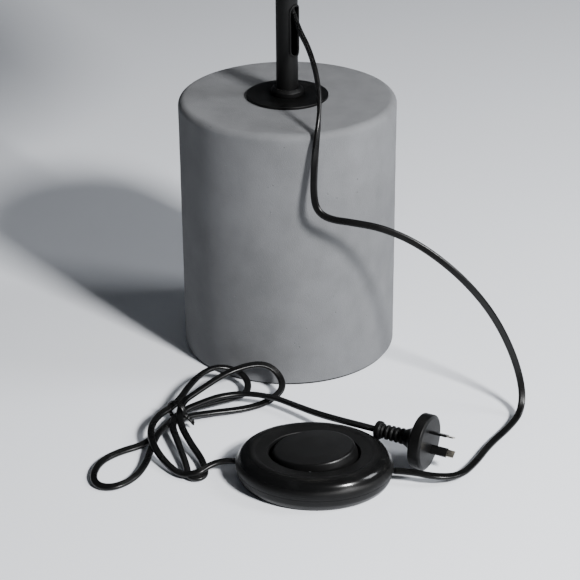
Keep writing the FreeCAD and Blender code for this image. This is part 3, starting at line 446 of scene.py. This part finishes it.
FLEX_W, FLEX_T = 5.1 * MM, 3.2 * MM
SECTION_POINTS = 24
GROOVE_DEPTH, GROOVE_WIDTH = 0.10, 0.25     # shares of the thickness: the dip between the two cores
turn = np.linspace(0, TURN, SECTION_POINTS, endpoint=False) + TURN / SECTION_POINTS / 2
flat_section = np.stack([np.sign(np.cos(turn)) * (FLEX_W - FLEX_T) / 2 + FLEX_T / 2 * np.cos(turn),
                         FLEX_T / 2 * np.sin(turn) * (1 - GROOVE_DEPTH
                                                 * np.exp(-(np.cos(turn) / GROOVE_WIDTH) ** 2))], -1)
print("flex section", FLEX_W * 1000, "x", FLEX_T * 1000, "mm")

# %% [markdown]
# ## Flex from the pole to the foot switch
# It leaves the top of the slot with its narrow side in front, bends over the base's edge, twists until its
# flat side shows, and hangs in a wide swing down to the surface before it curls into the switch. The facing
# directions at the control points tell the flat section how it is turned, and they change only slowly.

# %% Flex to the switch
def switch_spot(x, y, z):
    """A place in the switch's own axes, in millimetres, as a place of the lamp."""
    c, s = math.cos(SWITCH_TURN), math.sin(SWITCH_TURN)
    return (SWITCH_AT[0] / MM + x * c - y * s, SWITCH_AT[1] / MM + x * s + y * c, z)


hanging_route = np.array([
    (5.1, -5.9, 260.0), (8.7, -13.4, 251.3), (15.4, -29.0, 243.0), (20.4, -48.0, 231.5),
    (22.4, -63.2, 218.5), (21.7, -74.4, 205.9), (19.7, -81.4, 192.6), (18.3, -84.9, 174.9),
    (17.7, -88.7, 157.5), (19.7, -91.8, 145.9), (28.2, -94.8, 140.3), (45.3, -97.8, 138.9),
    (66.5, -100.3, 135.5), (91.6, -103.8, 124.5), (119.5, -107.6, 102.9), (142.4, -111.0, 76.2),
    (158.2, -113.7, 46.1), (166.5, -119.0, 19.0), (165.0, -129.0, 4.6), (155.5, -146.0, 2.5),
    (138.0, -171.0, 2.3), (126.5, -195.0, 2.9), (114.0, -215.5, 4.8), (97.0, -220.5, 7.4),
    switch_spot(66.1, 0, 9.0), switch_spot(54.1, 0, 9.0)]) * MM
EDGE_ON, FLAT_ON, LYING = (1.0, 0.35, 0.0), (-0.15, -0.90, 0.42), (0.10, -0.35, 0.93)
hanging_facing = [EDGE_ON] * 5 + [(0.95, -0.1, 0.1), (0.6, -0.75, 0.2)] + [FLAT_ON] * 10
hanging_facing += [(0.05, -0.8, 0.6)] + [LYING] * (len(hanging_route) - 18)
hanging_path = smooth_path("flex_hanging", hanging_route)
flex_hanging = swept("flex_hanging", hanging_path, along_route(hanging_path, hanging_facing),
                     flat_section, FINISHES["black_pvc"])
print("flex to the switch:", round(length_of(hanging_path), 3), "m")

# %% [markdown]
# ## Spare flex, tied in a hank
# The rest of the flex goes from the switch into a bundle and on to the plug. Inside the tie every pass lies
# beside the others; outside it nothing holds them, so the four loops differ in size and fan out. The whole
# of it is still one spline, from the switch's left end to the plug.

# %% Hank route
PLUG_AT = np.array([94.9, -197.0, 19.5]) * MM
PLUG_TURN = math.radians(-28.0)


def plug_spot(x):
    """A place on the plug's axis, x millimetres in front of the pin face."""
    return (PLUG_AT[0] / MM + x * math.cos(PLUG_TURN), PLUG_AT[1] / MM + x * math.sin(PLUG_TURN),
            PLUG_AT[2] / MM)


out_of_switch = [switch_spot(-54.1, 0, 9.0), switch_spot(-62.5, 0, 9.0), (-56.0, -204.4, 7.2),
                 (-62.5, -210.5, 5.4), (-74.5, -208.3, 2.6), (-86.5, -192.4, 4.6), (-94.3, -176.7, 7.6),
                 (-97.4, -162.2, 9.0), (-96.1, -149.8, 10.0), (-91.0, -139.0, 11.0), (-83.6, -132.4, 12.3)]
upper_loop = [(-78.4, -122.4, 13.1), (-72.0, -103.5, 14.5), (-62.0, -85.0, 15.5), (-49.9, -76.8, 15.0),
              (-36.6, -77.5, 10.5), (-30.6, -84.4, 6.5), (-30.4, -96.7, 4.6), (-36.9, -104.1, 4.4),
              (-57.3, -116.0, 5.6), (-76.5, -131.0, 8.5)]
front_loop = [(-84.0, -146.1, 8.2), (-77.0, -172.6, 5.6), (-70.6, -196.5, 3.4), (-69.0, -208.4, 2.8),
              (-65.7, -211.9, 2.7), (-60.9, -211.9, 2.7), (-57.7, -208.4, 2.8), (-57.9, -199.8, 3.0),
              (-61.4, -187.0, 3.9), (-69.3, -170.4, 5.6), (-77.6, -147.9, 8.4)]
wide_loop = [(-78.2, -126.2, 11.5), (-64.5, -111.0, 14.0), (-47.0, -93.8, 18.0), (-29.0, -86.1, 21.0),
             (-15.8, -83.5, 19.5), (-7.0, -87.2, 12.5), (-4.6, -95.7, 7.0), (-10.6, -105.4, 4.4),
             (-21.0, -114.2, 3.2), (-35.7, -121.2, 3.4), (-57.0, -128.2, 5.0), (-75.1, -138.2, 7.6)]
left_loop = [(-91.5, -153.6, 6.4), (-96.1, -179.0, 5.2), (-97.9, -194.5, 4.0), (-104.5, -212.0, 2.9),
             (-117.2, -222.8, 2.5), (-128.7, -221.4, 2.5), (-133.9, -208.7, 2.5), (-130.2, -189.4, 2.5),
             (-117.5, -176.4, 2.5), (-101.3, -167.9, 2.6), (-91.1, -153.3, 4.2)]
to_the_plug = [(-76.4, -133.6, 10.0), (-64.1, -124.2, 10.6), (-50.1, -113.8, 10.6), (-32.3, -108.9, 10.0),
               (-12.0, -113.0, 9.0), (3.0, -123.5, 8.2), (17.0, -137.0, 9.6), (31.0, -152.0, 13.2),
               plug_spot(-53.5), plug_spot(-40.5)]
spare_route = np.array(out_of_switch + upper_loop + front_loop + wide_loop + left_loop + to_the_plug) * MM
spare_path = smooth_path("flex_spare", spare_route)
print("spare flex:", round(length_of(spare_path), 3), "m with", len(spare_route), "points")

# %% Spare flex
ROLL = 0.35                 # radians that the flat side leans either way as the flex rolls over itself
share = np.linspace(0, 1, len(spare_path))
lean = ROLL * (np.sin(TURN * 7.3 * share + 1.0) + 0.6 * np.sin(TURN * 12.1 * share + 2.6)) / 1.6
tangent, upward, sideways = frames_along(spare_path, np.tile((0.05, -0.2, 1.0), (len(spare_path), 1)))
spare_facing = upward * np.cos(lean)[:, None] + sideways * np.sin(lean)[:, None]
flex_spare = swept("flex_spare", spare_path, spare_facing, flat_section, FINISHES["black_pvc"])
print("spare flex mesh", len(flex_spare.data.polygons), "faces")

# %% [markdown]
# ## Places of the parts
# The switch and the plug are built on their own axes and then turned and shifted to where they lie. Two
# small functions do that for whole arrays of points, so that a finished piece's object stays at the origin.

# %% Placing
def placed(points, turn, at):
    """Points turned about Z by an angle and then shifted: (x cos - y sin, x sin + y cos, z) + at."""
    c, s = math.cos(turn), math.sin(turn)
    return points @ np.array([(c, s, 0), (-s, c, 0), (0, 0, 1)]) + at


def on_switch(points):
    return placed(points, SWITCH_TURN, SWITCH_AT)


def on_plug(points):
    """A shape made about Z, whose Z becomes the plug's axis."""
    return placed(points[:, [2, 1, 0]] * (1, -1, 1), PLUG_TURN, PLUG_AT)


def spin(name, outline, finish, columns=128, flat=None, put=lambda points: points, uv_radius=None):
    """Surface of revolution of a (radius, height) outline in millimetres that starts and ends on the axis,
    or is closed: (r cos t, r sin t, z). Where `flat` is given, Y is multiplied by flat(radius), so that the
    rings become ellipses. The UV map is (uv_radius * t, length along the outline), in metres."""
    t = np.linspace(0, TURN, columns, endpoint=False)
    poles = outline[0, 0] == 0
    rings = outline[1:-1] if poles else outline
    r, z = rings[:, :1], rings[:, 1:]
    squeeze = flat(r) if flat else 1.0
    points = np.stack([r * np.cos(t), r * np.sin(t) * squeeze, z + 0 * t], -1).reshape(-1, 3) * MM
    faces, spots = grid_faces(len(rings), columns, ring_rows=not poles)
    uv = None
    if uv_radius:
        sides = np.linalg.norm(np.diff(outline, axis=0, append=outline[:1]), axis=1)
        along = np.append(0, np.cumsum(sides)) * MM
        uv = np.stack([spots[..., 0] / columns * TURN * uv_radius, along[spots[..., 1]]], -1)
    ends = ()
    if poles:
        tips = put(np.array([(0, 0, outline[0, 1]), (0, 0, outline[-1, 1])]) * MM)
        last = (len(rings) - 1) * columns
        ends = ((tips[0], np.arange(columns)[::-1]), (tips[1], last + np.arange(columns)))
    return piece_from(name, put(points), faces, finish, uv, ends)


def dense(outline, pitch):
    """The closed outline with points added so that none is further than the pitch from the next."""
    ring = np.vstack([outline, outline[:1]])
    along = np.append(0, np.cumsum(np.linalg.norm(np.diff(ring, axis=0), axis=1)))
    places = np.union1d(along[:-1], np.arange(0, along[-1], pitch))
    return np.stack([np.interp(places, along, ring[:, k]) for k in (0, 1)], -1)


def dress(piece, body, slot, *nodes):
    """Says what the piece rides on and what it stands for. The slot argument is not used."""
    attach(piece, body)
    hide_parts(*nodes)
    print(piece.name, "stands for", ", ".join(nodes), "with", len(piece.data.polygons), "faces")

# %% [markdown]
# ## Concrete base
# A turned shape with a soft top edge and a pocket underneath for the nut. Cast concrete is never quite
# true: the form was a little out of round. A few long sine waves of random direction push the surface in
# and out by a tenth of a millimetre, which is enough to make a long reflection waver.

# %% Concrete base
def waves(points, seed, lengths, depth):
    """Sum of sines: each has a random direction k and phase p, and adds sin(k . x + p)."""
    draw = np.random.default_rng(seed)
    ways = draw.normal(size=(len(lengths), 3))
    ways *= (TURN / np.array(lengths) / np.linalg.norm(ways, axis=1))[:, None]
    return depth * np.sin(points @ ways.T + draw.uniform(0, TURN, len(lengths))).sum(1) / len(lengths)


BASE_R, BASE_TOP, FLANGE_TOP = 80.0, 197.0, 199.0
PAD_T, POCKET_R, POCKET_TOP, ROD_HOLE_R = 1.2, 23.0, 23.2, 6.0
STILL_R, MOVING_R = 0.045, 0.075            # the waves start at the first radius and are full at the second
WAVE_SEED, WAVE_LENGTHS, WAVE_DEPTH = 3, (0.09, 0.06, 0.045, 0.03, 0.022), 0.22 * MM

base_outline = rounded([(ROD_HOLE_R, POCKET_TOP, 0), (POCKET_R, POCKET_TOP, 1.0), (POCKET_R, PAD_T, 0.6),
                        (BASE_R, PAD_T, 1.2), (BASE_R, BASE_TOP, 5.2), (ROD_HOLE_R, BASE_TOP, 0)], steps=9)
base = spin("concrete_body", dense(base_outline, 2.0), FINISHES["concrete"], columns=224)
spots = np.empty(len(base.data.vertices) * 3)
base.data.vertices.foreach_get("co", spots)
spots = spots.reshape(-1, 3)
push = waves(spots, WAVE_SEED, WAVE_LENGTHS, WAVE_DEPTH)
out = np.linalg.norm(spots[:, :2], axis=1)
outer_wall = np.clip((out - STILL_R) / (MOVING_R - STILL_R), 0, 1)
spots[:, :2] *= 1 + (push * outer_wall / out)[:, None]
base.data.vertices.foreach_set("co", spots.ravel())
dress(base, "root", "concrete", "concrete_base")

# %% [markdown]
# ## Flange, collar and the slot's trim
# These are thin black parts whose edges catch the light, so each edge gets a small radius that the
# mechanical model leaves out. The trim is an oblong ring bent round the pole: its outline runs round the
# slot, and its L-shaped section goes from the rim on the outside to a tongue inside the wall.

# %% Flange and collar
FLANGE_R, COLLAR_R, COLLAR_TOP, POLE_R = 30.0, 12.0, 204.5, 8.0
ROD_R = 5.05

flange = spin("flange_disc", rounded([(ROD_R, BASE_TOP, 0), (FLANGE_R, BASE_TOP, 0.25),
                                      (FLANGE_R, FLANGE_TOP, 0.5), (ROD_R, FLANGE_TOP, 0)]),
              FINISHES["black_steel"])
dress(flange, "root", "black_steel", "base_flange")
collar = spin("collar_ring", rounded([(POLE_R + 0.05, FLANGE_TOP, 0), (COLLAR_R, FLANGE_TOP, 0.3),
                                      (COLLAR_R, 202.4, 0.5), (9.9, COLLAR_TOP, 0.5),
                                      (POLE_R + 0.05, COLLAR_TOP, 0.3)]), FINISHES["black_steel"], 96)
dress(collar, "root", "black_steel", "pole_collar")

# %% Slot trim
SLOT_HEADING, SLOT_Z = math.radians(-40.0), 248.0
OPEN_HALF, OPEN_RISE = 4.15, 14.1          # half width of the opening, and its straight part's half height


def bent_trim(name, section, finish, steps=72):
    """Ring of a (distance outwards, radius) section round a stadium, bent round the pole. With the angle t
    the stadium's normal is (cos t, sin t), the flat place is centre + distance * normal, and its width
    becomes an angle: width / pole radius."""
    t = np.linspace(0, TURN, steps, endpoint=False)
    away, radius = section[:, 0], section[:, 1]
    width = (OPEN_HALF + away[None]) * np.cos(t)[:, None]
    half = np.where(np.sin(t) >= 0, OPEN_RISE, -OPEN_RISE)[:, None]
    rise = (OPEN_HALF + away[None]) * np.sin(t)[:, None] + half
    angle = SLOT_HEADING + width / POLE_R
    points = np.stack([radius * np.cos(angle), radius * np.sin(angle), SLOT_Z + rise], -1) * MM
    faces, _ = grid_faces(steps, len(section), ring_rows=True)
    return piece_from(name, points, faces, finish)


trim_section = rounded([(0.0, 6.9, 0), (0.0, 8.95, 0.3), (1.25, 9.0, 0.45), (1.25, 8.02, 0), (0.65, 8.02, 0),
                        (0.65, 6.9, 0)], steps=4)
dress(bent_trim("slot_trim", trim_section, FINISHES["black_moulding"]), "root", "black_moulding",
      "outlet_bezel")

# %% [markdown]
# ## Foot switch
# The housing is an oval ring: a full glossy rim that rolls over to a satin dish, with a small crease where
# the polish stops, and a well in the middle for the rocker. Every ring of the surface is an ellipse, and
# the ratio of its axes changes slowly from the rim to the well. The rocker is made level and then tipped
# about its pivot by the same angle as the mechanical one.

# %% Foot switch housing
ROUND_AT, WELL_AT = 5, 28       # half lengths where the rings are circles and where they fit the well
WELL_A, WELL_B = 30.4, 25.4     # half length and half width of the well


def rim_ratio(radius):
    """Share of the length that the width is, for an ellipse of that half length in millimetres."""
    return np.interp(radius, (ROUND_AT, WELL_AT, SWITCH_A / MM),
                     (1.0, WELL_B / WELL_A, SWITCH_B / SWITCH_A))


shell_outline = rounded([(53.2, 9.0, 0.3), (53.9, 12.6, 5.5), (49.4, 19.3, 7.5), (42.6, 21.9, 4.5),
                         (39.6, 20.9, 2.5), (31.2, 20.5, 0.9), (30.6, 13.0, 0.3), (32.2, 13.0, 0.3),
                         (32.6, 18.2, 1.0), (40.0, 18.7, 2.0), (46.6, 17.4, 4.0), (51.4, 12.4, 4.0),
                         (51.2, 9.0, 0.3)], steps=9)
shell = spin("switch_shell", shell_outline, FINISHES["black_shell"], 192, rim_ratio, on_switch)
dress(shell, "root", "black_shell", "switch_housing")

# %% Rocker
PIVOT_Z, REST_TILT = 18.0 * MM, math.radians(-6.0)


def tipped(points):
    """Turned about the Y line at the pivot's height, then laid on the switch. A turn by a about Y is
    (x cos a + z sin a, y, z cos a - x sin a)."""
    c, s = math.cos(REST_TILT), math.sin(REST_TILT)
    x, y, z = points[:, 0], points[:, 1], points[:, 2] - PIVOT_Z
    return on_switch(np.stack([x * c + z * s, y, z * c - x * s + PIVOT_Z], -1))


rocker_outline = rounded([(0, 24.3, 0), (14.0, 24.2, 20), (27.6, 23.8, 2.6), (29.4, 19.0, 3),
                          (29.6, 14.5, 0.3), (27.8, 14.5, 0.3), (27.2, 21.0, 1.5), (3.5, 21.6, 0),
                          (3.5, 12.5, 0.2), (2.05, 12.5, 0.2), (2.05, 21.6, 0), (0, 21.6, 0)], steps=8)
rocker = spin("rocker_cap", rocker_outline, FINISHES["rocker_black"], 160, rim_ratio, tipped)
dress(rocker, "rocker", "rocker_black", "rocker")

# %% [markdown]
# ## Plug
# The moulding is one turned shape: a thick disc with a rounded rim that flows into a neck. The strain
# relief behind it tapers over rings that let the flex bend a little at a time, and ends in a bead. Its
# radius is a falling line plus a rounded square wave, so one formula makes all the rings.

# %% Plug moulding
plug_outline = rounded([(0, 0.0, 0), (17.2, 0.0, 0.6), (19.4, -0.9, 1.0), (19.4, -8.4, 1.6),
                        (15.0, -10.0, 2.5), (8.0, -13.2, 6.0), (5.4, -18.5, 0.2), (0, -18.5, 0)], steps=8)
plug = spin("plug_moulding", plug_outline, FINISHES["black_moulding"], 128, None, on_plug)
dress(plug, "root", "black_moulding", "plug_body")

# %% Strain relief
RELIEF_FROM, RELIEF_TO, RELIEF_END = -17.8, -35.6, -40.5
RING_PITCH, RING_HEIGHT, RING_STEEPNESS = 3.6, 0.95, 4
BEAD_AT, BEAD_HALF, BEAD_FOOT_R, BEAD_HEIGHT = -38.1, 2.4, 4.4, 2.1

x = np.linspace(RELIEF_FROM, RELIEF_TO, 72)
ring = 0.5 + 0.5 * np.tanh(RING_STEEPNESS * np.sin(TURN * (x - RELIEF_FROM) / RING_PITCH + 0.5))
radius = np.interp(x, (RELIEF_TO, RELIEF_FROM), (4.2, 4.7)) + RING_HEIGHT * ring
bead = np.linspace(-1, 1, 17)
bead_line = np.stack([BEAD_FOOT_R + BEAD_HEIGHT * np.sqrt(np.clip(1 - bead ** 4, 0, 1)),
                      BEAD_AT - BEAD_HALF * bead], -1)
relief_outline = np.vstack([[(0, RELIEF_FROM)], np.stack([radius, x], -1), bead_line,
                            [(3.4, RELIEF_END), (0, RELIEF_END)]])
relief = spin("plug_relief", relief_outline, FINISHES["black_moulding"], 72, None, on_plug)
dress(relief, "root", "black_moulding", "plug_boot")

# %% [markdown]
# ## Twist tie
# A flat plastic strip with a wire in it goes twice round the bundle, and its two ends are twisted together
# and bent down. It is one ribbon carried along one path: a short helix, two turns of an oval helix, and a
# second short helix half a turn out of step with the first.

# %% Twist tie
TIE_AT = np.array([-80.0, -132.5, 9.4])
TIE_WAY = math.radians(50.0)
TIE_HALF_W, TIE_HALF_H, TIE_PITCH = 8.2, 7.4, 1.3
END_STEPS, TURN_STEPS, END_R, END_TWISTS = 40, 150, 0.8, 1.8
FALL = np.array([5.5, -4.2, -4.6])          # from the bundle's side to the tips of the two ends
bundle_way = np.array([math.cos(TIE_WAY), math.sin(TIE_WAY), 0])
bundle_side = np.array([math.sin(TIE_WAY), -math.cos(TIE_WAY), 0])


def tie_turns(t):
    """Oval helix round the bundle: side * a cos t + up * b sin t, moving one pitch along it per turn."""
    return (TIE_AT + bundle_side * TIE_HALF_W * np.cos(t)[:, None] + np.array([0, 0, TIE_HALF_H])
            * np.sin(t)[:, None] + bundle_way * (TIE_PITCH * (t / TURN - 1))[:, None])


def tie_end(phase):
    """Helix of a small radius along a falling line that starts at the bundle's right side."""
    s = np.linspace(0, 1, END_STEPS)[:, None]
    line = TIE_AT + bundle_side * (TIE_HALF_W + 0.6) + s * FALL
    swing = TURN * END_TWISTS * s + phase
    return line + END_R * (np.cos(swing) * bundle_way + np.sin(swing) * np.array([0, 0, 1]))


round_it = tie_turns(np.linspace(0.12, 2 * TURN - 0.12, TURN_STEPS))
tie_path = np.vstack([tie_end(0)[::-1], round_it, tie_end(math.pi)]) * MM
end_facing = np.tile(bundle_side + (0, 0, 0.4), (END_STEPS, 1))
tie_facing = np.vstack([end_facing, tie_path[END_STEPS:-END_STEPS] - TIE_AT * MM, end_facing])
tie_section = np.stack([1.15 * np.cos(turn), 0.42 * np.sin(turn)], -1) * MM
tie = swept("twist_tie", tie_path, tie_facing, tie_section, FINISHES["black_pvc"])
dress(tie, "root", "black_pvc", "hank_tie")

# %% [markdown]
# ## Shade
# The wall is linen on a white liner, 1 mm thick together. The linen is folded over both edges, which makes
# a flat hem a little proud of the wall. Both are turned shapes; the linen also gets a UV map in metres,
# because its weave has to follow the wall.

# %% Shade wall
SHADE_LOW, SHADE_RISE = 395.9, 200.0
FOOT_R, CROWN_R = 160.0, 140.0
HEM, PROUD = 9.0, 0.35
CLOTH_T, WALL_T = 0.5, 1.0


def wall(height, inward):
    """Radius of the cone's wall at a height above its lower edge, less a distance inwards."""
    return FOOT_R - (FOOT_R - CROWN_R) * height / SHADE_RISE - inward


def shade_ring(line, steps):
    """Closed outline from (height above the shade's foot, distance inwards, corner radius)
    points. A fourth value moves a point up without changing its radius."""
    return rounded([(wall(h, inward), SHADE_LOW + h + sum(shift), c) for h, inward, c, *shift in line], steps)


linen_line = [(0, -PROUD, 0.3), (HEM, -PROUD, 0.3), (HEM, 0, 0, 0.3), (60, 0, 0), (140, 0, 0),
              (SHADE_RISE - HEM, 0, 0, -0.3), (SHADE_RISE - HEM, -PROUD, 0.3), (SHADE_RISE, -PROUD, 0.3),
              (SHADE_RISE, CLOTH_T, 0.2), (100, CLOTH_T, 0), (0, CLOTH_T, 0.2)]
shade_fabric = spin("shade_linen", shade_ring(linen_line, 4), FINISHES["shade_cloth"], 256, uv_radius=0.15)
dress(shade_fabric, "shade", "shade_cloth", "shade_cover")

# %% Shade liner
liner_finish = Finish("shade_liner", roughness=0.5)
haze = liner_finish.noise(40, detail=3)
liner_finish.feed("Base Color", liner_finish.mix(haze.step(0.3, 0.7), grey(0.74, 0.02), grey(0.82, 0.01)))
liner_finish.feed("Roughness", 0.45 + 0.15 * haze)
BACK, INSET = CLOTH_T + 0.02, 0.8           # the liner's outer face, and how far it stops from both edges
liner_line = [(INSET, BACK, 0.1), (SHADE_RISE / 2, BACK, 0), (SHADE_RISE - INSET, BACK, 0.1),
              (SHADE_RISE - INSET, WALL_T, 0.1), (INSET, WALL_T, 0.1)]
liner = spin("shade_liner", shade_ring(liner_line, 3), liner_finish.material, 256)
dress(liner, "shade", "shade_cloth", "shade_cover")

# %% [markdown]
# ## What each cord is
# Each flex piece rides on the root and stands in for the mechanical model's flex nodes: the first for the
# flex to the switch, the second for the flex to the hank, the hank itself and the flex to the plug.

# %% Cords
dress(flex_hanging, "root", "black_pvc", "flex_to_switch")
dress(flex_spare, "root", "black_pvc", "flex_to_hank", "hank", "flex_to_plug")

# %% [markdown]
# ## Floor and light
# The lamp stands on a wide pale sheet. The key light at the front right draws the shadows of the flex on the
# concrete and a long soft one of the base on the floor. A wider panel at the right shades the round of the
# concrete, and a dim sky lifts the shadows enough to keep the black parts readable.

# %% Floor
FLOOR_HALF = 8.0
side = np.linspace(-FLOOR_HALF, FLOOR_HALF, 33)
floor_x, floor_y = np.meshgrid(side, side)
floor_faces, _ = grid_faces(len(side), len(side), ring_columns=False)
paper = Finish("floor_paper", (0.79, 0.81, 0.85), roughness=0.7, specular_ior_level=0.25)
floor = piece_from("floor", np.stack([floor_x, floor_y, 0 * floor_x], -1), floor_faces, paper.material)

# %% Lights
def soft_light(name, azimuth, elevation, distance, size, watts, colour=(1, 1, 1), target=(0, -0.05, 0.1)):
    """A square light at that distance, azimuth from +X towards +Y, that looks at the target."""
    a, e = math.radians(azimuth), math.radians(elevation)
    way = Vector((math.cos(e) * math.cos(a), math.cos(e) * math.sin(a), math.sin(e)))
    lamp = bpy.data.lights.new(name, "AREA")
    lamp.energy, lamp.size, lamp.color = watts, size, colour
    holder = bpy.data.objects.new(name, lamp)
    holder.matrix_world = (Matrix.Translation(Vector(target) + way * distance)
                           @ way.to_track_quat("Z", "Y").to_matrix().to_4x4())
    bpy.context.scene.collection.objects.link(holder)


soft_light("key", azimuth=-50, elevation=35, distance=1.75, size=0.26, watts=76)
soft_light("panel", azimuth=-4, elevation=36, distance=1.9, size=0.60, watts=20, colour=(0.95, 0.97, 1.0))
sky = bpy.data.worlds.new("studio")
sky.use_nodes = True
sky.node_tree.nodes["Background"].inputs["Color"].default_value = (0.80, 0.88, 1.0, 1)
sky.node_tree.nodes["Background"].inputs["Strength"].default_value = 0.06
bpy.context.scene.world = sky
print("floor and lights ready")
